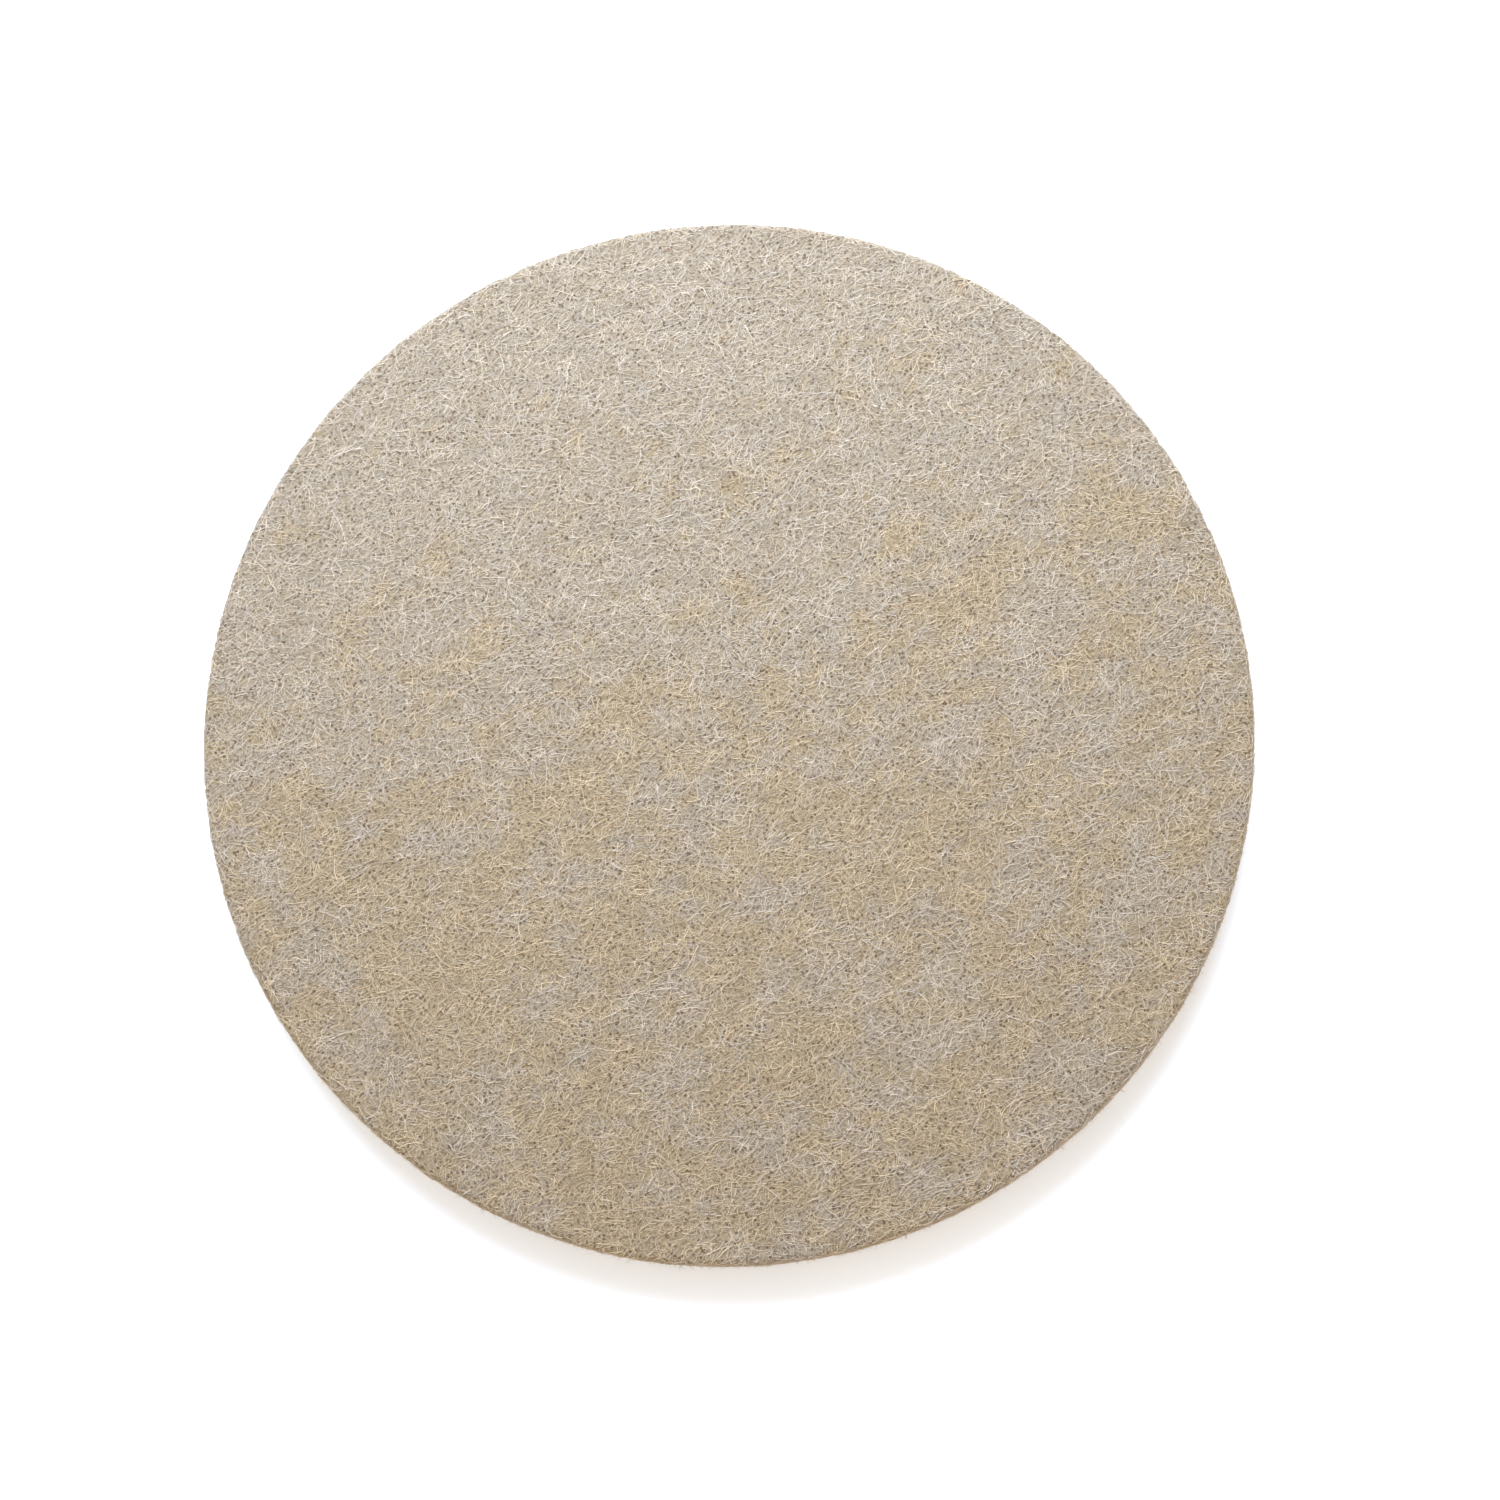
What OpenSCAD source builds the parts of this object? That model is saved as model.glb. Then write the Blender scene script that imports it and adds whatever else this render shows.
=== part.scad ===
// Felt polishing disc for a flat lap, with a pressure-sensitive adhesive back
// and a release liner in two halves. The disc lies flat on Z = 0 with its
// working face up, and its axis is the Z axis.

/* [Felt] */
// Diameter of the disc
disc_d = 152.4; // [75:0.1:305]
// Thickness of the pressed wool felt
felt_t = 9.5; // [3:0.1:20]
// Radius on the rim of the working face
working_rim_r = 1.0; // [0.2:0.1:1.5]
// Radius on the rim of the glued face
glued_rim_r = 0.3; // [0.1:0.1:0.6]

/* [Adhesive back] */
// How far the backing stops short of the felt, which springs out after cutting
backing_inset = 0.4; // [0.1:0.1:1]
// Thickness of the adhesive coat that grips the felt
felt_coat_t = 0.12; // [0.05:0.01:0.3]
// Thickness of the film that carries the two coats
film_t = 0.06; // [0.03:0.01:0.2]
// Thickness of the adhesive coat that grips the lap plate
plate_coat_t = 0.1; // [0.05:0.01:0.3]

/* [Release liner] */
// Thickness of the siliconed paper
liner_t = 0.16; // [0.1:0.01:0.4]
// Width of the slit between the two halves
slit_w = 0.3; // [0.1:0.1:1]

/* [Hidden] */

felt_colour = [0.78, 0.71, 0.60];
adhesive_colour = [0.93, 0.88, 0.70];
film_colour = [0.86, 0.90, 0.92];
liner_colour = [0.90, 0.84, 0.70];

backing_d = disc_d - 2 * backing_inset;

// Each layer lies on the one before it, from the floor up.
plate_coat_z = liner_t;
film_z = plate_coat_z + plate_coat_t;
felt_coat_z = film_z + film_t;
felt_z = felt_coat_z + felt_coat_t;

rim_steps = 8;
round_fn = 180;

// Points of a quarter circle about (x, y), from one angle to another.
function arc(x, y, r, from, to) = [
    for (i = [0 : rim_steps])
        let (a = from + (to - from) * i / rim_steps)
            [x + r * cos(a), y + r * sin(a)]
];

// A flat round layer of the backing.
module layer(z, thickness) {
    translate([0, 0, z])
        cylinder(d = backing_d, h = thickness, $fn = round_fn);
}

// Half of the felt's section, from the axis out to the wall.
module felt_section() {
    wall_x = disc_d / 2;
    polygon(concat(
        [[0, 0]],
        arc(wall_x - glued_rim_r, glued_rim_r, glued_rim_r, -90, 0),
        arc(wall_x - working_rim_r, felt_t - working_rim_r, working_rim_r, 0, 90),
        [[0, felt_t]]
    ));
}

module felt_disc() {
    color(felt_colour)
        translate([0, 0, felt_z])
            rotate_extrude($fn = round_fn)
                felt_section();
}

module felt_side_adhesive() {
    color(adhesive_colour)
        layer(felt_coat_z, felt_coat_t);
}

module carrier_film() {
    color(film_colour)
        layer(film_z, film_t);
}

module plate_side_adhesive() {
    color(adhesive_colour)
        layer(plate_coat_z, plate_coat_t);
}

// Half of the liner: side is -1 for the left half and 1 for the right half.
module release_liner(side) {
    keep_w = backing_d / 2 + 1;
    keep_x = side > 0 ? slit_w / 2 : -slit_w / 2 - keep_w;
    color(liner_colour)
        intersection() {
            layer(0, liner_t);
            translate([keep_x, -keep_w, -1])
                cube([keep_w, 2 * keep_w, liner_t + 2]);
        }
}

felt_disc();
felt_side_adhesive();
carrier_film();
plate_side_adhesive();
release_liner(-1);  // release_liner_left
release_liner(1);  // release_liner_right
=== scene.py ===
import math

import bpy
import numpy as np
from bpy.props import (
    FloatProperty,
    FloatVectorProperty,
    IntProperty,
    PointerProperty,
)
from mathutils import Matrix, Vector, noise
from mathutils.bvhtree import BVHTree


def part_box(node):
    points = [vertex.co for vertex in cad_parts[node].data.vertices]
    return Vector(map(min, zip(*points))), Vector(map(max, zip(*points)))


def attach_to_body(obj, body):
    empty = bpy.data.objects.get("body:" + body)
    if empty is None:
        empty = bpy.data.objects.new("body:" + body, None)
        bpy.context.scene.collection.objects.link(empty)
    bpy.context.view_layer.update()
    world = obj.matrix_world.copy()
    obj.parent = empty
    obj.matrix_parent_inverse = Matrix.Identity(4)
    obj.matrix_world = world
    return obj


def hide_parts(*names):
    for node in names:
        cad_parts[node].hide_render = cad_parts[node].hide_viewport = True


bl_info = {
    "name": "Felt polishing disc",
    "version": (1, 0, 0),
    "blender": (4, 5, 0),
    "location": "View3D > Sidebar > Felt Disc",
    "description": "Wool felt polishing disc with a self-adhesive back and a split liner",
    "category": "Add Mesh",
}

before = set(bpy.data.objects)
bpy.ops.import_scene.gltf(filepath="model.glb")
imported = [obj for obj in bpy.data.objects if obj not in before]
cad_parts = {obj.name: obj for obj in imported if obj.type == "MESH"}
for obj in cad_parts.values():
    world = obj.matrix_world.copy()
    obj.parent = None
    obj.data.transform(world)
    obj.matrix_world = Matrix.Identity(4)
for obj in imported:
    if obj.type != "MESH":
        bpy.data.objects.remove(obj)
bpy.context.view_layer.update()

MM = 0.001
FELT_LOW, FELT_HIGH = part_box("felt_disc")
FELT_R = FELT_HIGH.x
TOP_Z = FELT_HIGH.z
WALL_BOTTOM_Z = FELT_LOW.z

# The felt's rounded edges, as the CAD solid has them.
FACE_RIM_R = 1.0 * MM
GLUED_RIM_R = 0.3 * MM
FACE_R = FELT_R - FACE_RIM_R
WALL_TOP_Z = TOP_Z - FACE_RIM_R

# Points round the rim; the grid on the face has a quarter as many each way.
RIM_POINTS = 1024

# Rings of points round the body's glued edge, up its wall and over its face rim.
GLUED_RINGS = 3
WALL_RINGS = 17
RIM_RINGS = 4

# Points along a strand of wool, along a long fibre and along a short cut end.
STRAND_POINTS = 6
FIBRE_POINTS = 12
END_POINTS = 4

# Texture value that leaves the pressed skin where it is. Lower ones push it in.
PRESSED_LEVEL = 0.8

# Most strands in one piece, which keeps it under 200,000 triangles.
MOST_STRANDS = 8000

# Distance between the pinholes in the mat, and the shares of a strand's red, green
# and blue that are left where it crosses one, as painted shade.
PINHOLE_SPACING = 1.0 * MM
PINHOLE_SHADE_SHARES = (0.29, 0.17, 0.07)

# The wool's lay runs this way across the face, and this share of it follows the lay.
LAY_ANGLE = math.radians(34)
LAID_SHARE = 0.36

# Strands on the face. Cream and taupe wool lie all over it in these shares, and the
# rest is white or straw, as the wool was blended at the place, with more white towards
# the far side as painted light.
FACE_STRANDS = 57000
FACE_WOOLS = ("cream", "taupe", "white", "straw")
CREAM_SHARE = 0.26
TAUPE_SHARE = 0.08

# Long fibres that lie over the rest, stray reddish strands, and their usual lengths.
LONG_FIBRES = 600
LONG_LENGTH = 8.0 * MM
STRAY_STRANDS = 70
STRAY_LENGTH = 2.2 * MM

# Strands of each wool on the cut wall, and their usual length.
WALL_STRANDS = (("cream", 5200), ("straw", 4300))
WALL_LENGTH = 2.6 * MM

# Short cut ends that stand out of the face, and out of the rim and the wall.
FACE_ENDS = 3200
WALL_ENDS = 5200

# Powers of one over the plastic number. Places that step by them never line up.
EVEN_STEPS = (0.7548776662, 0.5698402910)

# The floor is this wide, lies this far under the liner, and gives off this much of
# its own light.
FLOOR_SIZE = 12.0
FLOOR_DROP = 0.02 * MM
FLOOR_GLOW = 0.13

# Place, width in metres and colour of the window's light and of its warm bounce.
WINDOW = ((-0.025, 0.22, 0.24), 0.36, (0.595, 0.757, 1.0))
BOUNCE = ((0.05, -0.30, 0.12), 0.20, (1.0, 0.76, 0.52))

# The camera's lens and sensor in millimetres, and the place that it looks at.
LENS = 76.5
SENSOR = 36.0
CAMERA_AIM = (3.9 * MM, -2.6 * MM, TOP_Z)


# ---------------------------------------------------------------- settings


class FeltBodySettings(bpy.types.PropertyGroup):
    """The pressed body of the disc."""

    swell: FloatProperty(
        name="Swell",
        description="Height of the broad unevenness of the pressed face",
        default=0.06 * MM,
        min=0.0,
        max=1.0 * MM,
        unit="LENGTH",
    )
    clump: FloatProperty(
        name="Clumps",
        description="Height of the small clumps of matted wool",
        default=0.06 * MM,
        min=0.0,
        max=1.0 * MM,
        unit="LENGTH",
    )
    pit: FloatProperty(
        name="Pits",
        description="Depth of the pinholes between clumps",
        default=0.05 * MM,
        min=0.0,
        max=1.0 * MM,
        unit="LENGTH",
    )
    # Painted shade: both body colours are kept dark, as the shade in the gaps between the
    # strands on the face.
    white: FloatVectorProperty(
        name="White wool",
        description="Colour of the body where grey-white wool was matted in",
        default=(0.215, 0.161, 0.100),
        subtype="COLOR",
        min=0.0,
        max=1.0,
    )
    straw: FloatVectorProperty(
        name="Straw wool",
        description="Colour of the body where straw wool was matted in",
        default=(0.215, 0.152, 0.078),
        subtype="COLOR",
        min=0.0,
        max=1.0,
    )
    # Lifts the cut wall above the painted gap shade of the face.
    wall_paleness: FloatProperty(
        name="Wall paleness",
        description="How many times paler the cut wall is than the gaps in the face",
        default=1.35,
        min=1.0,
        max=4.0,
    )
    # Painted shade: the dark colour put deep in the pinholes of the face, where shade falls
    # between the fibres.
    shade: FloatVectorProperty(
        name="Pinholes",
        description="Colour deep in the pinholes",
        default=(0.085, 0.055, 0.030),
        subtype="COLOR",
        min=0.0,
        max=1.0,
    )


class NapSettings(bpy.types.PropertyGroup):
    """The loose strands on the working face and the wall."""

    thickness: FloatProperty(
        name="Strand thickness",
        description="Thickness of a strand, which is a few wool fibres together",
        default=0.08 * MM,
        min=0.04 * MM,
        max=0.4 * MM,
        unit="LENGTH",
    )
    length: FloatProperty(
        name="Strand length",
        description="Middle length of a strand that lies on the face",
        default=4.2 * MM,
        min=1.0 * MM,
        max=15.0 * MM,
        unit="LENGTH",
    )
    lift: FloatProperty(
        name="Lift",
        description="How far the middle of a strand stands off the face",
        default=0.10 * MM,
        min=0.0,
        max=1.0 * MM,
        unit="LENGTH",
    )
    seed: IntProperty(
        name="Seed",
        description="Start of the random draws",
        default=11,
        min=0,
    )
    cream: FloatVectorProperty(
        name="Cream wool",
        description="Colour of the commonest strands",
        default=(0.556, 0.418, 0.276),
        subtype="COLOR",
        min=0.0,
        max=1.0,
    )
    white: FloatVectorProperty(
        name="White wool",
        description="Colour of the palest strands",
        default=(0.556, 0.441, 0.330),
        subtype="COLOR",
        min=0.0,
        max=1.0,
    )
    straw: FloatVectorProperty(
        name="Straw wool",
        description="Colour of the yellow strands",
        default=(0.562, 0.405, 0.237),
        subtype="COLOR",
        min=0.0,
        max=1.0,
    )
    taupe: FloatVectorProperty(
        name="Taupe wool",
        description="Colour of the darkest common strands",
        default=(0.445, 0.327, 0.208),
        subtype="COLOR",
        min=0.0,
        max=1.0,
    )
    rust: FloatVectorProperty(
        name="Rust wool",
        description="Colour of the few stray reddish strands",
        default=(0.42, 0.20, 0.075),
        subtype="COLOR",
        min=0.0,
        max=1.0,
    )


class BackingSettings(bpy.types.PropertyGroup):
    """The adhesive back and its liner."""

    adhesive: FloatVectorProperty(
        name="Adhesive",
        description="Colour of the two adhesive coats",
        default=(0.78, 0.66, 0.38),
        subtype="COLOR",
        min=0.0,
        max=1.0,
    )
    film: FloatVectorProperty(
        name="Film",
        description="Colour of the carrier film",
        default=(0.72, 0.76, 0.78),
        subtype="COLOR",
        min=0.0,
        max=1.0,
    )
    paper: FloatVectorProperty(
        name="Liner paper",
        description="Colour of the siliconed liner paper",
        default=(0.34, 0.245, 0.145),
        subtype="COLOR",
        min=0.0,
        max=1.0,
    )


class StageSettings(bpy.types.PropertyGroup):
    """Floor, lights and camera."""

    floor: FloatVectorProperty(
        name="Floor",
        description="Colour of the floor",
        default=(0.97, 0.97, 0.97),
        subtype="COLOR",
        min=0.0,
        max=1.0,
    )
    sky: FloatProperty(
        name="Room light",
        description="Strength of the even light of the room",
        default=0.88,
        min=0.0,
    )
    key: FloatProperty(
        name="Window light",
        description="Power of the cool light beyond the far side of the disc",
        default=3.88,
        min=0.0,
        unit="POWER",
    )
    bounce: FloatProperty(
        name="Warm bounce",
        description="Power of the warm light low on the near side of the disc",
        default=0.104,
        min=0.0,
        unit="POWER",
    )
    tilt: FloatProperty(
        name="Camera tilt",
        description="Angle between the camera's line of sight and the disc's axis",
        default=math.radians(9),
        subtype="ANGLE",
    )
    turn: FloatProperty(
        name="Camera side",
        description="Direction that the camera leans towards, from +X",
        default=math.radians(-65),
        subtype="ANGLE",
    )
    distance: FloatProperty(
        name="Camera distance",
        description="Distance from the camera to the disc's face",
        default=0.46,
        min=0.1,
        unit="LENGTH",
    )


# ------------------------------------------------------------ small helpers


def clear_selection():
    """Back to object mode, with nothing selected."""
    if bpy.context.object is not None and bpy.context.object.mode != "OBJECT":
        bpy.ops.object.mode_set(mode="OBJECT")
    bpy.ops.object.select_all(action="DESELECT")


def select_points(piece, chosen):
    """Selects only the vertices that chosen marks, with piece in object mode."""
    mesh = piece.data
    mesh.polygons.foreach_set("select", np.zeros(len(mesh.polygons), bool))
    mesh.edges.foreach_set("select", np.zeros(len(mesh.edges), bool))
    mesh.vertices.foreach_set("select", chosen)


def points_of(mesh):
    """Places of the vertices, one row for each."""
    flat = np.zeros(len(mesh.vertices) * 3, np.float32)
    mesh.vertices.foreach_get("co", flat)
    return flat.reshape(-1, 3)


def attach(piece, body, material):
    """Gives a finished piece its body and its material."""
    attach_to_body(piece, body)
    piece.data.materials.clear()
    piece.data.materials.append(material)


def smoothstep(low, high, value):
    """0 up to low, 1 from high, and smooth between."""
    t = np.clip((value - low) / (high - low), 0.0, 1.0)
    return t * t * (3.0 - 2.0 * t)


class FaceMap:
    """Values on an even square grid over the face, read anywhere between."""

    def __init__(self, step, value_at):
        self.step = step
        self.half = int(math.ceil(FELT_R / step)) + 1
        side = range(-self.half, self.half + 1)
        self.values = np.array([[value_at(i * step, j * step) for i in side] for j in side])

    def __call__(self, x, y):
        """Value at x and y, blended from the four nearest points of the grid."""
        last = 2 * self.half - 1
        u = np.clip(x / self.step + self.half, 0.0, last + 0.999)
        v = np.clip(y / self.step + self.half, 0.0, last + 0.999)
        i, j = u.astype(int), v.astype(int)
        s, t = u - i, v - j
        grid = self.values
        near = grid[j, i] * (1 - s) + grid[j, i + 1] * s
        far = grid[j + 1, i] * (1 - s) + grid[j + 1, i + 1] * s
        return near * (1 - t) + far * t


def wool_blend(x, y):
    """How the wool was blended at a place, with painted light that whitens the far side:
    above 0 white, below 0 straw.
    """
    along = x * math.cos(LAY_ANGLE) + y * math.sin(LAY_ANGLE)
    across = y * math.cos(LAY_ANGLE) - x * math.sin(LAY_ANGLE)
    broad = noise.fractal(
        Vector((along / (12 * MM), across / (8 * MM), 3.7)), 0.8, 2.1, 3
    )
    tufts = noise.noise(Vector((along / (3.8 * MM), across / (2.6 * MM), 9.2)))
    # Painted light: whiter wool towards the far side, where the window light stands, and a
    # little more straw opposite.
    painted_light_drift = (0.98 * y - 0.18 * x) / FELT_R
    painted_light_drift *= 0.9 if painted_light_drift > 0 else 0.4
    # One whiter patch at the rim, near and to the right.
    near_right = (x - y) / (math.sqrt(2) * FELT_R)
    painted_light_drift += 0.9 * max(near_right - 0.55, 0.0)
    return 0.68 * broad + 0.82 * tufts + painted_light_drift


# ---------------------------------------------------------------- materials


def new_material(name):
    """A material with an empty shader, its node tree and that shader."""
    material = bpy.data.materials.new(name)
    material.use_nodes = True
    tree = material.node_tree
    tree.nodes.clear()
    out = tree.nodes.new("ShaderNodeOutputMaterial")
    out.location = (600, 0)
    shader = tree.nodes.new("ShaderNodeBsdfPrincipled")
    shader.location = (300, 0)
    tree.links.new(shader.outputs["BSDF"], out.inputs["Surface"])
    return material, tree, shader


def add(tree, kind, place, **values):
    """A node at a place, with its settings."""
    made = tree.nodes.new(kind)
    made.location = place
    for name, value in values.items():
        setattr(made, name, value)
    return made


def object_place(tree, place, turn=0.0, stretch=(1, 1, 1)):
    """Object coordinates, turned about Z and stretched."""
    source = add(tree, "ShaderNodeTexCoord", (place[0] - 200, place[1]))
    mapping = add(tree, "ShaderNodeMapping", place)
    mapping.inputs["Rotation"].default_value = (0, 0, turn)
    mapping.inputs["Scale"].default_value = stretch
    tree.links.new(source.outputs["Object"], mapping.inputs["Vector"])
    return mapping.outputs["Vector"]


def noise_at(tree, vector, place, scale, detail, roughness=0.5):
    """Noise between 0 and 1, read at a vector."""
    made = add(tree, "ShaderNodeTexNoise", place)
    made.inputs["Scale"].default_value = scale
    made.inputs["Detail"].default_value = detail
    made.inputs["Roughness"].default_value = roughness
    tree.links.new(vector, made.inputs["Vector"])
    return made.outputs["Fac"]


def remap(tree, value, place, from_low, from_high, to_low, to_high):
    """A value moved from one range to another, and held inside it."""
    made = add(tree, "ShaderNodeMapRange", place)
    made.inputs["From Min"].default_value = from_low
    made.inputs["From Max"].default_value = from_high
    made.inputs["To Min"].default_value = to_low
    made.inputs["To Max"].default_value = to_high
    tree.links.new(value, made.inputs["Value"])
    return made.outputs["Result"]


def combine(tree, operation, first, second, place):
    """Two values, each a number or an output, put through a maths operation."""
    made = add(tree, "ShaderNodeMath", place, operation=operation)
    for socket, value in zip(made.inputs, (first, second)):
        if isinstance(value, (int, float)):
            socket.default_value = value
        else:
            tree.links.new(value, socket)
    return made.outputs["Value"]


def mix_colours(tree, factor, first, second, place):
    """Mixes two colours. The mix node has its factor at input 0, its colours at
    inputs 6 and 7 and their mix at output 2."""
    made = add(tree, "ShaderNodeMix", place, data_type="RGBA")
    tree.links.new(factor, made.inputs[0])
    for socket, value in ((6, first), (7, second)):
        if isinstance(value, bpy.types.NodeSocket):
            tree.links.new(value, made.inputs[socket])
        else:
            made.inputs[socket].default_value = (*value, 1.0)
    return made.outputs[2]


def colour_by(tree, shader, colour, tone, place):
    """Base colour: one colour, made lighter and darker by a tone."""
    value = add(tree, "ShaderNodeHueSaturation", place)
    value.inputs["Color"].default_value = (*colour, 1.0)
    tree.links.new(tone, value.inputs["Value"])
    tree.links.new(value.outputs["Color"], shader.inputs["Base Color"])
    return value.outputs["Color"]


def bump_by(tree, shader, height, strength, distance):
    """Bump of the shader's surface by a height."""
    bump = add(tree, "ShaderNodeBump", (0, -400))
    bump.inputs["Strength"].default_value = strength
    bump.inputs["Distance"].default_value = distance
    tree.links.new(height, bump.inputs["Height"])
    tree.links.new(bump.outputs["Normal"], shader.inputs["Normal"])


def strand_lines(tree, source, place, turn, width, length):
    """Fine lines that lie one way, as matted fibres do. Bright on a line."""
    mapping = add(tree, "ShaderNodeMapping", place)
    mapping.inputs["Rotation"].default_value = (0, 0, turn)
    mapping.inputs["Scale"].default_value = (1 / length, 1 / width, 1 / width)
    tree.links.new(source, mapping.inputs["Vector"])
    raw = noise_at(tree, mapping.outputs["Vector"], (place[0] + 200, place[1]), 1.0, 1.0)
    ridge = combine(tree, "SUBTRACT", raw, 0.5, (place[0] + 400, place[1]))
    ridge = combine(tree, "ABSOLUTE", ridge, 0.0, (place[0] + 550, place[1]))
    return remap(tree, ridge, (place[0] + 700, place[1]), 0.0, 0.10, 1.0, 0.0)


def curled(tree, source, place, scale, reach):
    """The same coordinates pushed about, so that straight lines curl."""
    push = add(tree, "ShaderNodeTexNoise", place)
    push.inputs["Scale"].default_value = 1 / scale
    push.inputs["Detail"].default_value = 1.0
    tree.links.new(source, push.inputs["Vector"])
    centred = add(
        tree, "ShaderNodeVectorMath", (place[0] + 200, place[1]), operation="SUBTRACT"
    )
    centred.inputs[1].default_value = (0.5, 0.5, 0.5)
    tree.links.new(push.outputs["Color"], centred.inputs[0])
    moved = add(
        tree,
        "ShaderNodeVectorMath",
        (place[0] + 400, place[1]),
        operation="MULTIPLY_ADD",
    )
    moved.inputs[1].default_value = (reach, reach, reach)
    tree.links.new(centred.outputs[0], moved.inputs[0])
    tree.links.new(source, moved.inputs[2])
    return moved.outputs[0]


def crossed_lines(tree, source, place, turns, width, length):
    """Lines that lie several ways over each other."""
    lines = None
    for k, turn in enumerate(turns):
        row = place[1] - 260 * k
        these = strand_lines(tree, source, (place[0], row), turn, width, length)
        lines = (
            these
            if lines is None
            else combine(tree, "MAXIMUM", lines, these, (place[0] + 900, row))
        )
    return lines


def pinholes(tree, place):
    """Mask of painted shade in the small holes through the mat of the face, the same on
    the body and the strands. The cut wall has none."""
    even = object_place(tree, place)
    cells = add(
        tree,
        "ShaderNodeTexVoronoi",
        (place[0] + 200, place[1]),
        voronoi_dimensions="2D",
        feature="F1",
    )
    cells.inputs["Scale"].default_value = 1 / PINHOLE_SPACING
    tree.links.new(even, cells.inputs["Vector"])
    shade_mask = remap(
        tree, cells.outputs["Distance"], (place[0] + 400, place[1]), 0.09, 0.27, 0.92, 0.0
    )
    depth = noise_at(
        tree, even, (place[0] + 200, place[1] - 250), 1 / (1.5 * MM), 1.0, 0.5
    )
    depth = remap(tree, depth, (place[0] + 400, place[1] - 250), 0.35, 0.65, 0.3, 1.0)
    height = add(tree, "ShaderNodeSeparateXYZ", (place[0] + 200, place[1] - 500))
    tree.links.new(even, height.inputs["Vector"])
    on_face = remap(
        tree,
        height.outputs["Z"],
        (place[0] + 400, place[1] - 500),
        TOP_Z - 0.45 * MM,
        TOP_Z - 0.20 * MM,
        0.0,
        1.0,
    )
    shade_mask = combine(tree, "MULTIPLY", shade_mask, depth, (place[0] + 600, place[1]))
    return combine(tree, "MULTIPLY", shade_mask, on_face, (place[0] + 750, place[1]))


def pressed_felt_material(settings):
    """Body of the felt: blended wool, kept dark as painted shade for the gaps between
    the strands, fine matted fibres and painted shade in the pinholes on the face, and
    the thin layers of the batt on the cut wall."""
    material, tree, shader = new_material("pressed_wool_felt")
    # The stored wool mix carries the painted light that whitens the far side.
    blend_and_light = add(tree, "ShaderNodeAttribute", (-1900, 600), attribute_name="wool_blend")
    whiteness = remap(tree, blend_and_light.outputs["Fac"], (-1700, 600), -0.5, 0.5, 0.0, 1.0)
    wool = mix_colours(tree, whiteness, settings.straw, settings.white, (-1450, 600))

    even = object_place(tree, (-3300, 0))
    wavy = curled(tree, even, (-3100, -200), 1.4 * MM, 0.7 * MM)
    lines = crossed_lines(
        tree, wavy, (-2500, 200), (0.35, 1.1, 1.9, 2.7, -0.2), 0.15 * MM, 2.0 * MM
    )
    grit = noise_at(tree, even, (-2600, -1300), 1 / (0.30 * MM), 3.0, 0.65)
    pinhole_shade = pinholes(tree, (-2900, -1700))
    batt = object_place(
        tree, (-2900, -2400), 0.0, (1 / (2.4 * MM), 1 / (2.4 * MM), 1 / (0.26 * MM))
    )
    batt = noise_at(tree, batt, (-2600, -2400), 1.0, 4.0, 0.65)

    tone = remap(tree, grit, (-1700, -1000), 0.3, 0.7, 0.88, 1.10)
    lit = remap(tree, lines, (-1500, -400), 0.0, 1.0, 0.70, 1.40)
    tone = combine(tree, "MULTIPLY", tone, lit, (-1200, -300))
    # The body's colour is kept dark as painted shade for the gaps between the strands
    #     on the face. The cut wall is made this many times paler, and shows the batt's thin
    #     layers.
    layered = remap(tree, batt, (-1500, -2400), 0.3, 0.7, 0.74, 1.26)
    layered = combine(tree, "MULTIPLY", layered, settings.wall_paleness, (-1300, -2400))
    height = add(tree, "ShaderNodeSeparateXYZ", (-1500, -2700))
    tree.links.new(even, height.inputs["Vector"])
    on_wall = remap(
        tree, height.outputs["Z"], (-1300, -2700), WALL_TOP_Z, TOP_Z - 0.2 * MM, 1.0, 0.0
    )
    more = combine(tree, "SUBTRACT", layered, 1.0, (-1100, -2400))
    more = combine(tree, "MULTIPLY", more, on_wall, (-1000, -2400))
    more = combine(tree, "ADD", more, 1.0, (-900, -2400))
    tone = combine(tree, "MULTIPLY", tone, more, (-900, -300))
    value = add(tree, "ShaderNodeHueSaturation", (-900, 500))
    tree.links.new(wool, value.inputs["Color"])
    tree.links.new(tone, value.inputs["Value"])
    # Painted shade: the pinholes are mixed towards the dark pinhole colour.
    colour = mix_colours(
        tree, pinhole_shade, value.outputs["Color"], settings.shade, (-600, 400)
    )
    tree.links.new(colour, shader.inputs["Base Color"])

    rough = remap(tree, grit, (-400, -200), 0.3, 0.7, 0.98, 0.86)
    tree.links.new(rough, shader.inputs["Roughness"])
    shader.inputs["Specular IOR Level"].default_value = 0.15
    shader.inputs["Sheen Weight"].default_value = 0.15
    shader.inputs["Sheen Roughness"].default_value = 0.6

    ridges = combine(tree, "MULTIPLY", batt, on_wall, (-900, -700))
    height = combine(tree, "MULTIPLY", lines, 0.6, (-800, -500))
    height = combine(tree, "ADD", height, ridges, (-700, -600))
    height = combine(tree, "ADD", height, grit, (-600, -500))
    height = combine(tree, "SUBTRACT", height, pinhole_shade, (-400, -500))
    bump_by(tree, shader, height, 0.6, 0.10 * MM)
    return material


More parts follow.
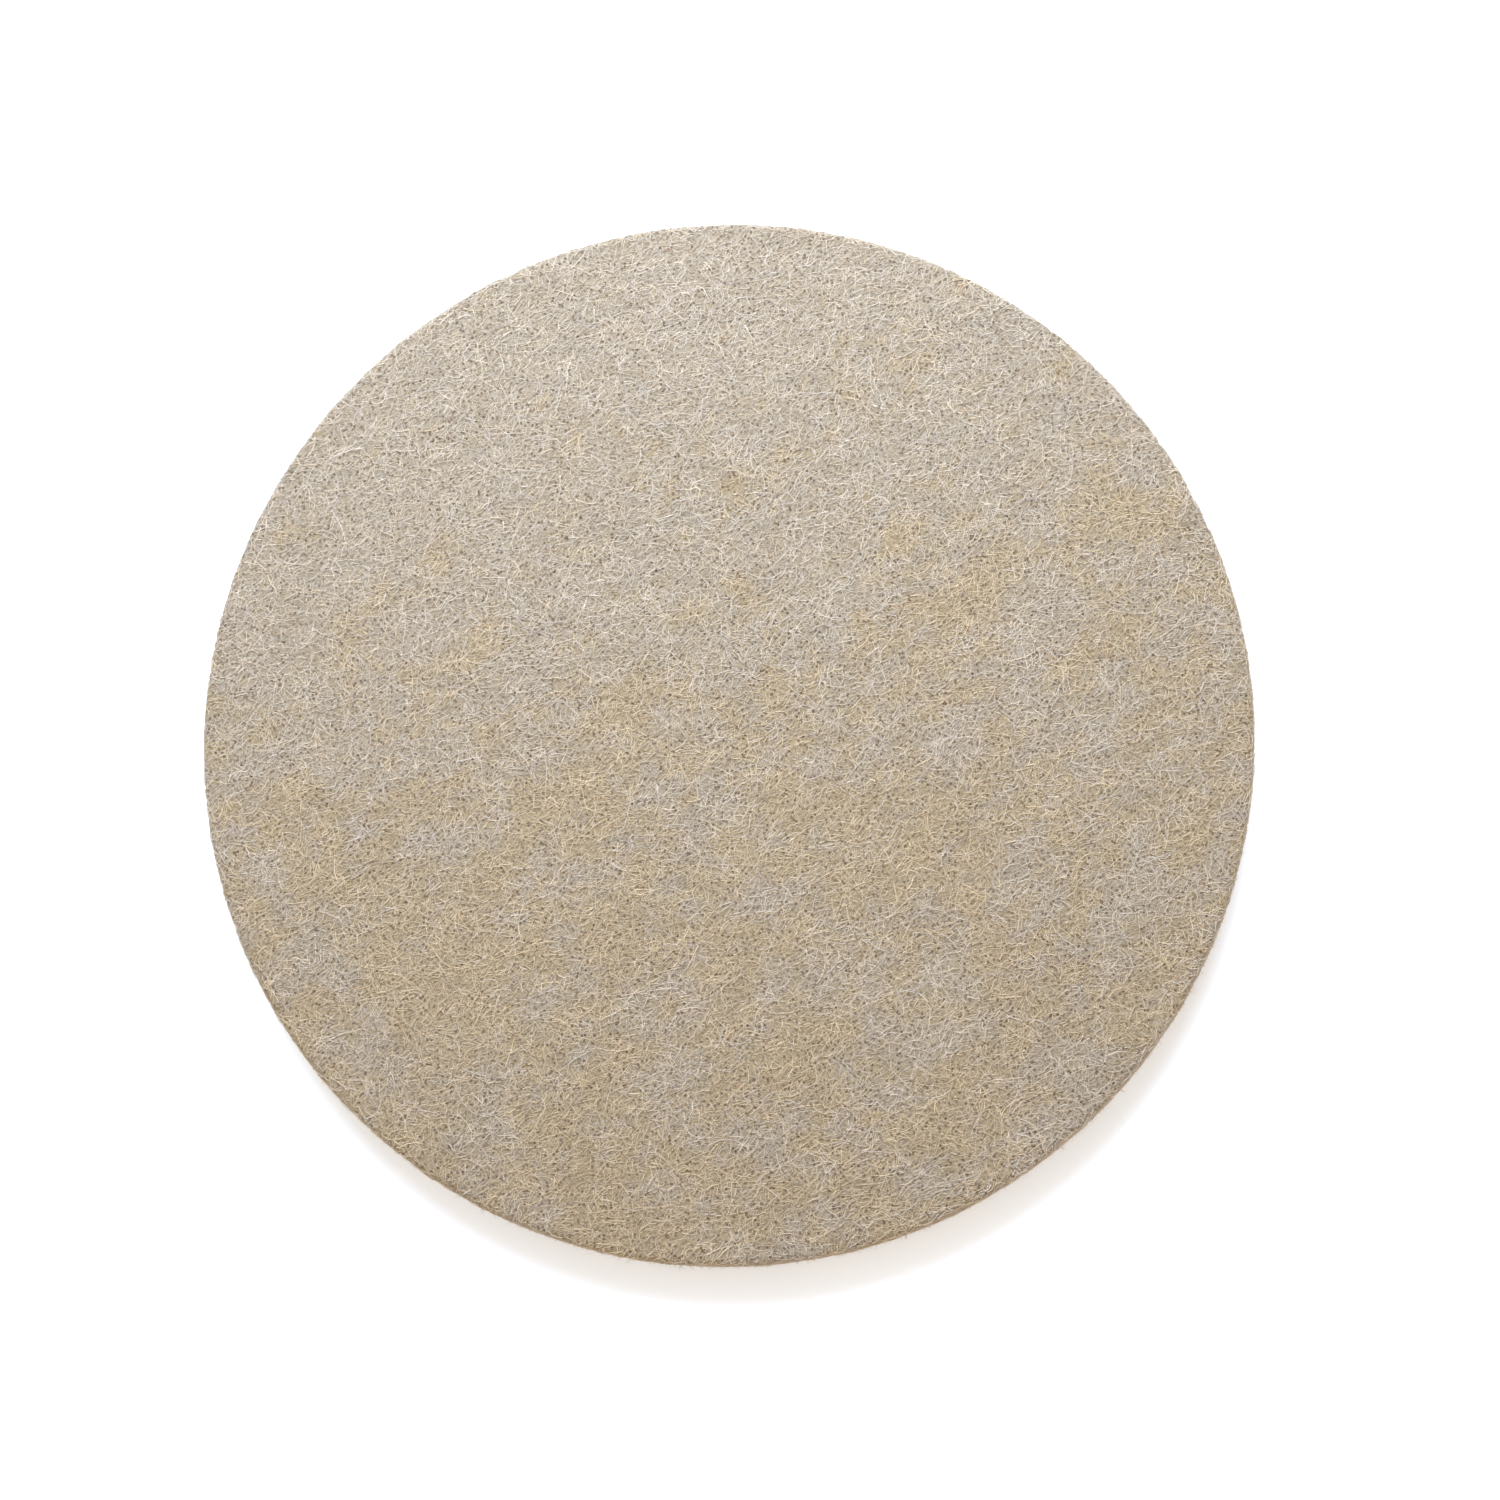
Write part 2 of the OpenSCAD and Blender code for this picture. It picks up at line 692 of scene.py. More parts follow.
def strand_material(name, tint):
    """Wool strand: one tint, a little lighter and darker from place to place,
    and a darker brown as painted shade where it crosses a pinhole."""
    material, tree, shader = new_material(name)
    vector = object_place(tree, (-900, 0))
    fine = noise_at(tree, vector, (-700, 100), 1 / (0.6 * MM), 2.0, 0.6)
    tone = remap(tree, fine, (-500, 100), 0.3, 0.7, 0.93, 1.07)
    own = add(tree, "ShaderNodeAttribute", (-700, -200), attribute_name="strand_tone")
    tone = combine(tree, "MULTIPLY", tone, own.outputs["Fac"], (-300, 100))
    wisps = object_place(
        tree, (-1200, -450), -LAY_ANGLE, (1 / (6 * MM), 1 / (2.5 * MM), 1 / (2.5 * MM))
    )
    wisps = noise_at(tree, wisps, (-900, -450), 1.0, 2.0, 0.5)
    wisps = remap(tree, wisps, (-700, -450), 0.3, 0.7, 0.92, 1.08)
    tone = combine(tree, "MULTIPLY", tone, wisps, (-300, -100))
    wool = colour_by(tree, shader, tint, tone, (-100, 0))
    shade_mask = pinholes(tree, (-1400, 500))
    # Painted shade: the strand's tint darkened where it crosses a pinhole.
    deep = tuple(part * left for part, left in zip(tint, PINHOLE_SHADE_SHARES))
    colour = mix_colours(tree, shade_mask, wool, deep, (100, 200))
    tree.links.new(colour, shader.inputs["Base Color"])
    rough = remap(tree, fine, (-300, -300), 0.3, 0.7, 0.9, 0.7)
    tree.links.new(rough, shader.inputs["Roughness"])
    shader.inputs["Specular IOR Level"].default_value = 0.3
    shader.inputs["Sheen Weight"].default_value = 0.1
    shader.inputs["Sheen Roughness"].default_value = 0.5
    scales = noise_at(tree, vector, (-500, -650), 1 / (0.08 * MM), 2.0, 0.6)
    bump_by(tree, shader, scales, 0.35, 0.01 * MM)
    return material


def liner_paper_material(settings):
    """Siliconed kraft paper: pulp clouding, fine fibres and a soft gloss."""
    material, tree, shader = new_material("siliconed_liner_paper")
    even = object_place(tree, (-1500, 300))
    cloud = noise_at(tree, even, (-1300, 300), 1 / (4 * MM), 4.0, 0.6)
    pulp = noise_at(tree, even, (-1300, 0), 1 / (0.35 * MM), 3.0, 0.7)
    fibres = crossed_lines(
        tree, even, (-2300, -300), (0.5, -0.8), 0.12 * MM, 1.6 * MM
    )
    tone = remap(tree, cloud, (-1000, 300), 0.3, 0.7, 0.90, 1.08)
    grain = remap(tree, pulp, (-1000, 0), 0.3, 0.7, 0.94, 1.05)
    tone = combine(tree, "MULTIPLY", tone, grain, (-800, 200))
    flecks = remap(tree, fibres, (-1000, -400), 0.6, 1.0, 1.0, 0.86)
    tone = combine(tree, "MULTIPLY", tone, flecks, (-600, 200))
    colour_by(tree, shader, settings.paper, tone, (-400, 200))
    rough = remap(tree, cloud, (-400, -100), 0.3, 0.7, 0.60, 0.46)
    tree.links.new(rough, shader.inputs["Roughness"])
    shader.inputs["Specular IOR Level"].default_value = 0.2
    bump_by(tree, shader, pulp, 0.25, 0.02 * MM)
    return material


def adhesive_material(settings):
    """Acrylic adhesive: amber, with the ripple of the coater and small bubbles."""
    material, tree, shader = new_material("acrylic_adhesive")
    even = object_place(tree, (-1300, 200))
    ripple_way = object_place(tree, (-1300, -200), 0.0, (1 / (9 * MM), 1 / (1.4 * MM), 1))
    ripple = noise_at(tree, ripple_way, (-1000, -200), 1.0, 2.0, 0.5)
    bubbles = add(tree, "ShaderNodeTexVoronoi", (-1000, 200), feature="F1")
    bubbles.inputs["Scale"].default_value = 1 / (1.8 * MM)
    tree.links.new(even, bubbles.inputs["Vector"])
    spots = remap(tree, bubbles.outputs["Distance"], (-800, 200), 0.06, 0.16, 1.15, 1.0)
    tone = remap(tree, ripple, (-800, -100), 0.3, 0.7, 0.92, 1.06)
    tone = combine(tree, "MULTIPLY", tone, spots, (-600, 100))
    colour_by(tree, shader, settings.adhesive, tone, (-400, 100))
    rough = remap(tree, ripple, (-400, -150), 0.3, 0.7, 0.24, 0.34)
    tree.links.new(rough, shader.inputs["Roughness"])
    bump_by(tree, shader, ripple, 0.3, 0.03 * MM)
    return material


def film_material(settings):
    """Polyester film: glossy, with a faint haze and drawn scratches."""
    material, tree, shader = new_material("polyester_film")
    even = object_place(tree, (-1200, 200))
    haze = noise_at(tree, even, (-1000, 200), 1 / (6 * MM), 3.0, 0.5)
    drawn = object_place(tree, (-1200, -200), 0.0, (1 / (20 * MM), 1 / (0.3 * MM), 1))
    drawn = noise_at(tree, drawn, (-1000, -200), 1.0, 1.0, 0.5)
    tone = remap(tree, haze, (-800, 200), 0.3, 0.7, 0.95, 1.03)
    colour_by(tree, shader, settings.film, tone, (-400, 100))
    rough = remap(tree, drawn, (-400, -150), 0.3, 0.7, 0.10, 0.22)
    tree.links.new(rough, shader.inputs["Roughness"])
    bump_by(tree, shader, drawn, 0.1, 0.01 * MM)
    return material


def floor_material(settings):
    """Plain pale floor, with the faintest unevenness."""
    material, tree, shader = new_material("plain_floor")
    even = object_place(tree, (-900, 0))
    soft = noise_at(tree, even, (-700, 0), 30.0, 2.0, 0.5)
    tone = remap(tree, soft, (-500, 0), 0.3, 0.7, 0.99, 1.01)
    colour_by(tree, shader, settings.floor, tone, (-300, 0))
    shader.inputs["Roughness"].default_value = 0.9
    shader.inputs["Specular IOR Level"].default_value = 0.1
    # A little light of its own, as a lit white table has, keeps the shadow pale.
    shader.inputs["Emission Color"].default_value = (1.0, 1.0, 1.0, 1.0)
    shader.inputs["Emission Strength"].default_value = FLOOR_GLOW
    return material


# ---------------------------------------------------------------- felt body


def body_profile():
    """Radius and height of each ring of the wall, from the glued face up."""
    rings = []
    for k in range(GLUED_RINGS):
        a = -math.pi / 2 + math.pi / 2 * k / (GLUED_RINGS - 1)
        rings.append(
            (
                FELT_R - GLUED_RIM_R + GLUED_RIM_R * math.cos(a),
                WALL_BOTTOM_Z + GLUED_RIM_R + GLUED_RIM_R * math.sin(a),
            )
        )
    low = WALL_BOTTOM_Z + GLUED_RIM_R
    for k in range(1, WALL_RINGS + 1):
        rings.append((FELT_R, low + (WALL_TOP_Z - low) * k / WALL_RINGS))
    for k in range(1, RIM_RINGS + 1):
        a = math.pi / 2 * k / RIM_RINGS
        rings.append(
            (FACE_R + FACE_RIM_R * math.cos(a), WALL_TOP_Z + FACE_RIM_R * math.sin(a))
        )
    return rings


def push_surface(piece, name, kind, size, depth):
    """Displaces the pressed skin along its normals with a small-scale texture."""
    if depth <= 0:
        return
    texture = bpy.data.textures.new(name, kind)
    texture.noise_scale = size
    if kind == "CLOUDS":
        texture.noise_depth = 2
    push = piece.modifiers.new(name, "DISPLACE")
    push.texture = texture
    push.texture_coords = "LOCAL"
    push.strength = depth
    push.mid_level = PRESSED_LEVEL
    push.vertex_group = "skin"
    bpy.ops.object.modifier_apply(modifier=name)


def press_body(settings):
    """The pressed disc: rings up the wall, then an even grid over the face."""
    rings = body_profile()
    clear_selection()
    bpy.ops.mesh.primitive_circle_add(
        vertices=RIM_POINTS,
        radius=rings[0][0],
        fill_type="NOTHING",
        location=(0, 0, rings[0][1]),
    )
    body = bpy.context.object
    body.name = body.data.name = "felt_body"
    bpy.ops.object.transform_apply(location=True, rotation=True, scale=True)
    bpy.ops.object.mode_set(mode="EDIT")
    bpy.ops.mesh.select_mode(type="VERT")
    bpy.ops.mesh.select_all(action="SELECT")
    for (r0, z0), (r1, z1) in zip(rings, rings[1:]):
        bpy.ops.mesh.extrude_edges_move(
            TRANSFORM_OT_translate={"value": (0, 0, z1 - z0)}
        )
        if abs(r1 - r0) > 1e-9:
            bpy.ops.transform.resize(
                value=(r1 / r0, r1 / r0, 1), center_override=(0, 0, 0)
            )
    bpy.ops.mesh.fill_grid(span=RIM_POINTS // 4)
    bpy.ops.object.mode_set(mode="OBJECT")
    select_points(body, points_of(body.data)[:, 2] < WALL_BOTTOM_Z + 0.01 * MM)
    bpy.ops.object.mode_set(mode="EDIT")
    bpy.ops.mesh.edge_face_add()
    bpy.ops.mesh.select_all(action="SELECT")
    bpy.ops.mesh.normals_make_consistent(inside=False)
    bpy.ops.object.mode_set(mode="OBJECT")
    bpy.ops.object.shade_smooth()

    skin = body.vertex_groups.new(name="skin")
    heights = points_of(body.data)[:, 2]
    above = np.nonzero(heights > WALL_BOTTOM_Z + 0.2 * MM)[0]
    skin.add(above.tolist(), 1.0, "REPLACE")
    push_surface(body, "swell", "CLOUDS", 7.0 * MM, settings.swell)
    push_surface(body, "clumps", "CLOUDS", 1.5 * MM, settings.clump)
    push_surface(body, "pits", "VORONOI", 0.9 * MM, settings.pit)
    body.vertex_groups.clear()

    # The wool mix stored on the body carries the painted light as well.
    blend_and_light = FaceMap(1.0 * MM, wool_blend)
    co = points_of(body.data).astype(float)
    layer = body.data.attributes.new("wool_blend", "FLOAT", "POINT")
    layer.data.foreach_set("value", blend_and_light(co[:, 0], co[:, 1]).astype(np.float32))

    attach(body, "pad", pressed_felt_material(settings))
    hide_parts("felt_disc")
    return body


# ------------------------------------------------------------------ strands


def face_relief(body):
    """How far the pressed face stands above or below its nominal plane."""
    tree = BVHTree.FromObject(body, bpy.context.evaluated_depsgraph_get())
    above = TOP_Z + 5 * MM

    def at(x, y):
        if math.hypot(x, y) > FACE_R - 0.3 * MM:
            return 0.0
        hit = tree.ray_cast(Vector((x, y, above)), Vector((0, 0, -1)))[0]
        return hit.z - TOP_Z if hit is not None else 0.0

    return FaceMap(0.5 * MM, at)


def on_skin(out, turn, lift):
    """Places given by the way out from the axis along the skin, over the rim and
    down the wall, by the turn about the axis and by the height off the skin."""
    arc = math.pi / 2 * FACE_RIM_R
    bend = np.clip((out - FACE_R) / FACE_RIM_R, 0.0, math.pi / 2)
    flat = np.minimum(out, FACE_R)
    down = np.maximum(out - FACE_R - arc, 0.0)
    radius = flat + (FACE_RIM_R + lift) * np.sin(bend)
    z = WALL_TOP_Z + (FACE_RIM_R + lift) * np.cos(bend) - down
    return np.stack([radius * np.cos(turn), radius * np.sin(turn), z], -1)


def winding(rng, count, points, heading, length, curl, wave):
    """Flat winding paths through the origin, one row of x and y for each."""
    s = np.linspace(-0.5, 0.5, points)[None]
    bend = rng.normal(0.0, curl, count)[:, None]
    turns = rng.uniform(0.8, 1.9, count)[:, None]
    phase = rng.uniform(0.0, 2 * math.pi, count)[:, None]
    sway = rng.normal(0.0, wave, count)[:, None]
    angle = (
        heading[:, None]
        + bend * length[:, None] * s
        + sway * np.sin(2 * math.pi * turns * s + phase)
    )
    step = length[:, None] / (points - 1)
    x = np.cumsum(np.cos(angle) * step, axis=1)
    y = np.cumsum(np.sin(angle) * step, axis=1)
    x -= x.mean(axis=1, keepdims=True)
    y -= y.mean(axis=1, keepdims=True)
    return x, y, np.broadcast_to(s * 2, x.shape)


def spin_strands(rng, name, paths, thickness, slimming=0.55):
    """One piece of many strands: a closed three-sided tube along each path,
    with a point at both ends."""
    count, points, _ = paths.shape
    way = np.gradient(paths, axis=1)
    way /= np.linalg.norm(way, axis=2, keepdims=True) + 1e-12
    chord = paths[:, -1] - paths[:, 0]
    chord /= np.linalg.norm(chord, axis=1, keepdims=True) + 1e-12
    side = np.cross(chord, rng.normal(size=(count, 3)))
    side /= np.linalg.norm(side, axis=1, keepdims=True) + 1e-12
    side = np.broadcast_to(side[:, None], paths.shape)
    first = np.cross(way, side)
    first /= np.linalg.norm(first, axis=2, keepdims=True) + 1e-12
    second = np.cross(way, first)

    s = np.linspace(-1.0, 1.0, points)
    radius = thickness[:, None] / 2 * (1 - slimming * np.abs(s[None]) ** 3)
    inner = slice(1, points - 1)
    corners = []
    for k in range(3):
        a = 2 * math.pi * k / 3
        corners.append(
            paths[:, inner]
            + radius[:, inner, None]
            * (math.cos(a) * first[:, inner] + math.sin(a) * second[:, inner])
        )
    rings = points - 2
    tube = np.stack(corners, axis=2).reshape(count, rings * 3, 3)
    verts = np.concatenate([tube, paths[:, :1], paths[:, -1:]], axis=1)
    per = verts.shape[1]
    start, end = per - 2, per - 1

    quads, tips = [], []
    for k in range(3):
        n = (k + 1) % 3
        for ring in range(rings - 1):
            a, b = ring * 3, ring * 3 + 3
            quads.append((a + k, a + n, b + n, b + k))
        tips.append((start, n, k))
        last = (rings - 1) * 3
        tips.append((end, last + k, last + n))
    shift = (np.arange(count) * per)[:, None, None]
    quads = (np.array(quads)[None] + shift).reshape(-1, 4)
    tips = (np.array(tips)[None] + shift).reshape(-1, 3)

    mesh = bpy.data.meshes.new(name)
    mesh.vertices.add(count * per)
    mesh.vertices.foreach_set("co", verts.astype(np.float32).ravel())
    loops = np.concatenate([quads.ravel(), tips.ravel()]).astype(np.int32)
    mesh.loops.add(len(loops))
    mesh.loops.foreach_set("vertex_index", loops)
    starts = np.concatenate(
        [np.arange(len(quads)) * 4, len(quads) * 4 + np.arange(len(tips)) * 3]
    )
    mesh.polygons.add(len(starts))
    mesh.polygons.foreach_set("loop_start", starts.astype(np.int32))
    mesh.polygons.foreach_set("use_smooth", np.ones(len(starts), bool))
    mesh.update(calc_edges=True)
    tone = np.repeat(np.clip(rng.normal(1.0, 0.10, count), 0.6, 1.3), per)
    layer = mesh.attributes.new("strand_tone", "FLOAT", "POINT")
    layer.data.foreach_set("value", tone.astype(np.float32))
    piece = bpy.data.objects.new(name, mesh)
    bpy.context.scene.collection.objects.link(piece)
    return piece


def even_places(rng, count):
    """Places spread evenly over the disc, each shaken a little."""
    total = int(count * 4 / math.pi)
    order = np.arange(total)
    shake = rng.normal(0.0, 0.35 * 2 * FELT_R / math.sqrt(total), (2, total))
    x = ((EVEN_STEPS[0] * order) % 1.0 * 2 - 1) * FELT_R + shake[0]
    y = ((EVEN_STEPS[1] * order) % 1.0 * 2 - 1) * FELT_R + shake[1]
    inside = np.hypot(x, y) < FELT_R
    return x[inside], y[inside]


def choose_wool(rng, blend_and_light):
    """Which of FACE_WOOLS a strand is, where the wool mix, whitened on the far side by
    painted light, has these values.
    """
    cream, taupe, white, straw = range(len(FACE_WOOLS))
    draw = rng.uniform(0, 1, len(blend_and_light))
    whiteness = 0.05 + 0.90 * smoothstep(-0.38, 0.38, blend_and_light)
    blended = np.where(rng.uniform(0, 1, len(blend_and_light)) < whiteness, white, straw)
    dark = np.where(draw < CREAM_SHARE + TAUPE_SHARE, taupe, blended)
    return np.where(draw < CREAM_SHARE, cream, dark)


def headings(rng, count, along, spread):
    """Directions: some follow the lay, the rest go any way."""
    anyway = rng.uniform(0, 2 * math.pi, count)
    laid = along + rng.normal(0.0, spread, count)
    return np.where(rng.uniform(0, 1, count) < LAID_SHARE, laid, anyway)


def face_paths(rng, settings, relief, x, y, length, points):
    """Winding paths over the face, with their ends sunk in the mat."""
    count = len(x)
    heading = headings(rng, count, LAY_ANGLE, 0.5)
    path_x, path_y, s = winding(rng, count, points, heading, length, 210.0, 0.5)
    path_x, path_y = path_x + x[:, None], path_y + y[:, None]
    stand = settings.lift * rng.uniform(0.1, 1.6, count)[:, None]
    ripple = 0.03 * MM * np.sin(
        s * rng.uniform(3, 7, count)[:, None]
        + rng.uniform(0, 2 * math.pi, count)[:, None]
    )
    sunk = 0.20 * MM * np.abs(s) ** 8
    lift = 0.03 * MM + stand * (1 - 0.3 * np.abs(s) ** 3) - sunk + ripple
    out, turn = np.hypot(path_x, path_y), np.arctan2(path_y, path_x)
    return on_skin(out, turn, lift + relief(path_x, path_y))


def raise_nap(settings, body):
    """Strands of each wool on the working face, and long fibres over them."""
    blend_and_light = FaceMap(1.0 * MM, wool_blend)
    relief = face_relief(body)
    rng = np.random.default_rng((settings.seed, 10))
    x, y = even_places(rng, FACE_STRANDS)
    wool_of = choose_wool(rng, blend_and_light(x, y))
    materials = {}
    for index, wool in enumerate(FACE_WOOLS):
        materials[wool] = strand_material(f"{wool}_wool", getattr(settings, wool))
        chosen = np.nonzero(wool_of == index)[0]
        groups = math.ceil(len(chosen) / MOST_STRANDS)
        for k, part in enumerate(np.array_split(chosen, groups)):
            count = len(part)
            length = settings.length * np.clip(rng.lognormal(0, 0.38, count), 0.4, 2.4)
            paths = face_paths(
                rng, settings, relief, x[part], y[part], length, STRAND_POINTS
            )
            thickness = settings.thickness * rng.uniform(0.65, 1.25, count)
            piece = spin_strands(rng, f"nap_{wool}_{k + 1}", paths, thickness)
            attach(piece, "pad", materials[wool])

    x, y = even_places(rng, LONG_FIBRES)
    length = LONG_LENGTH * np.clip(rng.lognormal(0, 0.3, len(x)), 0.5, 1.8)
    paths = face_paths(rng, settings, relief, x, y, length, FIBRE_POINTS)
    thickness = settings.thickness * rng.uniform(0.7, 1.1, len(x))
    piece = spin_strands(rng, "long_fibres", paths + [0, 0, 0.06 * MM], thickness)
    attach(piece, "pad", strand_material("long_fibre_wool", settings.cream))


def wall_strands(settings):
    """Short strands laid round the cut wall."""
    wall = WALL_TOP_Z - WALL_BOTTOM_Z
    arc = math.pi / 2 * FACE_RIM_R
    for w, (wool, count) in enumerate(WALL_STRANDS):
        rng = np.random.default_rng((settings.seed, 50, w))
        length = WALL_LENGTH * np.clip(rng.lognormal(0, 0.4, count), 0.4, 2.2)
        heading = rng.normal(0.0, 0.45, count)
        x, y, s = winding(rng, count, STRAND_POINTS, heading, length, 260.0, 0.4)
        down = rng.uniform(-0.6 * MM, wall - 0.3 * MM, count)[:, None] + y
        down = np.minimum(down, wall - 0.25 * MM)
        turn = rng.uniform(0, 2 * math.pi, count)[:, None] + x / FELT_R
        stand = 0.05 * MM * rng.gamma(1.5, 0.6, count)[:, None]
        lift = stand * (1 - np.abs(s) ** 3) - 0.12 * MM * np.abs(s) ** 5
        paths = on_skin(FACE_R + arc + down, turn, lift)
        thickness = settings.thickness * rng.uniform(0.5, 0.95, count)
        piece = spin_strands(rng, f"wall_{wool}", paths, thickness)
        tint = getattr(settings, wool)
        attach(piece, "pad", strand_material(f"wall_{wool}_wool", tint))


def cut_ends(settings, body):
    """Short ends that stand out of the wall, the rim and the face."""
    relief = face_relief(body)
    arc = math.pi / 2 * FACE_RIM_R
    wall = WALL_TOP_Z - WALL_BOTTOM_Z
    rng = np.random.default_rng((settings.seed, 70))
    face_out = FACE_R * np.sqrt(rng.uniform(0, 1, FACE_ENDS))
    wall_out = FACE_R + rng.uniform(-0.5 * MM, arc + wall - 0.35 * MM, WALL_ENDS)
    out = np.concatenate([face_out, wall_out])
    count = len(out)
    turn = rng.uniform(0, 2 * math.pi, count)
    tall = np.where(
        np.arange(count) < FACE_ENDS,
        rng.gamma(2.0, 0.22 * MM, count),
        rng.gamma(2.0, 0.16 * MM, count),
    )
    tall = np.clip(tall, 0.1 * MM, 1.4 * MM)
    lean = rng.normal(0.0, 0.7, (count, 2)) * tall[:, None]
    t = np.linspace(0.0, 1.0, END_POINTS)[None]
    height = -0.2 * MM * (1 - t) + tall[:, None] * t * (1.3 - 0.3 * t)
    bow = t**1.6
    way = np.minimum(out[:, None] + lean[:, :1] * bow, FACE_R + arc + wall - 0.15 * MM)
    swing = turn[:, None] + lean[:, 1:] * bow / np.maximum(out[:, None], 3 * MM)
    x, y = way * np.cos(swing), way * np.sin(swing)
    paths = on_skin(way, swing, height + relief(x, y))
    thickness = settings.thickness * rng.uniform(0.4, 0.75, count)
    piece = spin_strands(rng, "cut_ends", paths, thickness, 0.4)
    attach(piece, "pad", strand_material("cut_end_wool", settings.cream))


def stray_strands(settings, body):
    """A few reddish strands that came in with the raw wool."""
    relief = face_relief(body)
    rng = np.random.default_rng((settings.seed, 90))
    count = STRAY_STRANDS
    r = FACE_R * np.sqrt(rng.uniform(0, 1, count))
    a = rng.uniform(0, 2 * math.pi, count)
    length = STRAY_LENGTH * np.clip(rng.lognormal(0, 0.4, count), 0.4, 2.0)
    paths = face_paths(
        rng, settings, relief, r * np.cos(a), r * np.sin(a), length, STRAND_POINTS
    )
    paths[..., 2] += 0.05 * MM
    thickness = settings.thickness * rng.uniform(0.6, 1.0, count)
    piece = spin_strands(rng, "stray_rust", paths, thickness)
    attach(piece, "pad", strand_material("rust_wool", settings.rust))


# ---------------------------------------------------------------- operators


class FELTDISC_OT_press_body(bpy.types.Operator):
    """Press the felt body with its rounded rim and its uneven face"""

    bl_idname = "feltdisc.press_body"
    bl_label = "Press Felt Body"

    def execute(self, context):
        press_body(context.scene.felt_body)
        return {"FINISHED"}


class FELTDISC_OT_raise_nap(bpy.types.Operator):
    """Raise the strands of wool on the face, the rim and the wall"""

    bl_idname = "feltdisc.raise_nap"
    bl_label = "Raise Nap"

    def execute(self, context):
        body = bpy.data.objects.get("felt_body")
        if body is None:
            raise RuntimeError("press the felt body before its nap is raised")
        settings = context.scene.felt_nap
        raise_nap(settings, body)
        wall_strands(settings)
        cut_ends(settings, body)
        stray_strands(settings, body)
        return {"FINISHED"}


class FELTDISC_OT_finish_backing(bpy.types.Operator):
    """Give the adhesive coats and the carrier film their finish"""

    bl_idname = "feltdisc.finish_backing"
    bl_label = "Finish Adhesive Back"

    def execute(self, context):
        settings = context.scene.felt_backing
        adhesive = adhesive_material(settings)
        finishes = {
            "felt_side_adhesive": adhesive,
            "plate_side_adhesive": adhesive,
            "carrier_film": film_material(settings),
        }
        for node, material in finishes.items():
            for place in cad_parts[node].material_slots:
                place.material = material
        return {"FINISHED"}


class FELTDISC_OT_finish_liner(bpy.types.Operator):
    """Give both halves of the release liner their paper finish"""

    bl_idname = "feltdisc.finish_liner"
    bl_label = "Finish Release Liner"

    def execute(self, context):
        paper = liner_paper_material(context.scene.felt_backing)
        for node in ("release_liner_left", "release_liner_right"):
            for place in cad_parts[node].material_slots:
                place.material = paper
        return {"FINISHED"}


def area_light(name, power, place, size, colour):
    """A round light at a place, turned to the origin and itself out of sight."""
    data = bpy.data.lights.new(name, "AREA")
    data.shape = "DISK"
    data.size = size
    data.energy = power
    data.color = colour
    light = bpy.data.objects.new(name, data)
    light.location = place
    light.visible_camera = False
    light.rotation_euler = (-Vector(place)).to_track_quat("-Z", "Y").to_euler()
    bpy.context.scene.collection.objects.link(light)


class FELTDISC_OT_set_stage(bpy.types.Operator):
    """Set the floor, the soft lights and the camera"""

    bl_idname = "feltdisc.set_stage"
    bl_label = "Set Stage"

    def execute(self, context):
        settings = context.scene.felt_stage
        clear_selection()
        bpy.ops.mesh.primitive_plane_add(size=FLOOR_SIZE, location=(0, 0, -FLOOR_DROP))
        floor = bpy.context.object
        floor.name = "floor"
        floor.data.materials.append(floor_material(settings))

        world = bpy.data.worlds.new("room")
        world.use_nodes = True
        sky = world.node_tree.nodes["Background"]
        sky.inputs["Color"].default_value = (1.0, 1.0, 1.0, 1.0)
        sky.inputs["Strength"].default_value = settings.sky
        context.scene.world = world
        area_light("window", settings.key, *WINDOW)
        area_light("bounce", settings.bounce, *BOUNCE)

        view = context.scene.view_settings
        view.view_transform = "Standard"
        view.look = "None"

        data = bpy.data.cameras.new("camera")
        data.sensor_width = SENSOR
        data.lens = LENS
        data.clip_start = 0.01
        camera = bpy.data.objects.new("camera", data)
        context.scene.collection.objects.link(camera)
        lean = math.sin(settings.tilt)
        back = Vector(
            (
                lean * math.cos(settings.turn),
                lean * math.sin(settings.turn),
                math.cos(settings.tilt),
            )
        )
        camera.location = Vector(CAMERA_AIM) + back * settings.distance
        right = Vector((0, 1, 0)).cross(back).normalized()
        up = back.cross(right)
        camera.rotation_mode = "QUATERNION"
        camera.matrix_world = camera_matrix(right, up, back, camera.location)
        context.scene.camera = camera
        return {"FINISHED"}


